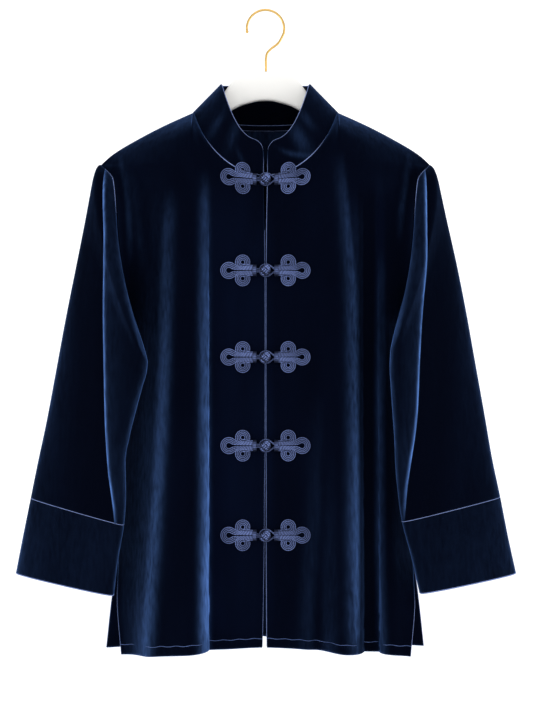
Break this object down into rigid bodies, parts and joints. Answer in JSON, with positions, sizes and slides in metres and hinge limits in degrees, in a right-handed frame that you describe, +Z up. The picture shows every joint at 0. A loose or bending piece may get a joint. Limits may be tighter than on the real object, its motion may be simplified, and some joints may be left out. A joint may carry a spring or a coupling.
{
  "type": "stand-collar velvet jacket on a clothes hanger",
  "caption": "Navy velvet jacket with a stand collar, frog fastenings, turned cuffs and side slits, hanging closed on a white hanger with a metal hook.",
  "frame": {"origin": "the inside top of the hook, where the hanger bears on its rail", "axes": "+Z up; +X towards the wearer's left sleeve; the front of the jacket faces -Y"},
  "size_m": [0.6603, 0.1376, 0.8661],
  "materials": {
    "velvet": "navy pile velvet with a pale sheen at glancing angles",
    "braid": "slate-blue corded braid",
    "hanger": "smooth off-white paint",
    "brass": "polished gold-coloured wire"
  },
  "bodies": {
    "root": {"front_right": "velvet", "sleeve_right": "velvet", "cuff_right": "velvet", "frog_right_1": "braid", "frog_right_2": "braid", "frog_right_3": "braid", "frog_right_4": "braid", "frog_right_5": "braid", "front_left": "velvet", "sleeve_left": "velvet", "cuff_left": "velvet", "frog_left_1": "braid", "frog_left_2": "braid", "frog_left_3": "braid", "frog_left_4": "braid", "frog_left_5": "braid", "back": "velvet", "collar": "velvet", "neck_tape": "velvet", "knot_1": "braid", "knot_2": "braid", "knot_3": "braid", "knot_4": "braid", "knot_5": "braid", "hanger": "hanger", "hanger_hook": "brass"}
  },
  "joints": []
}
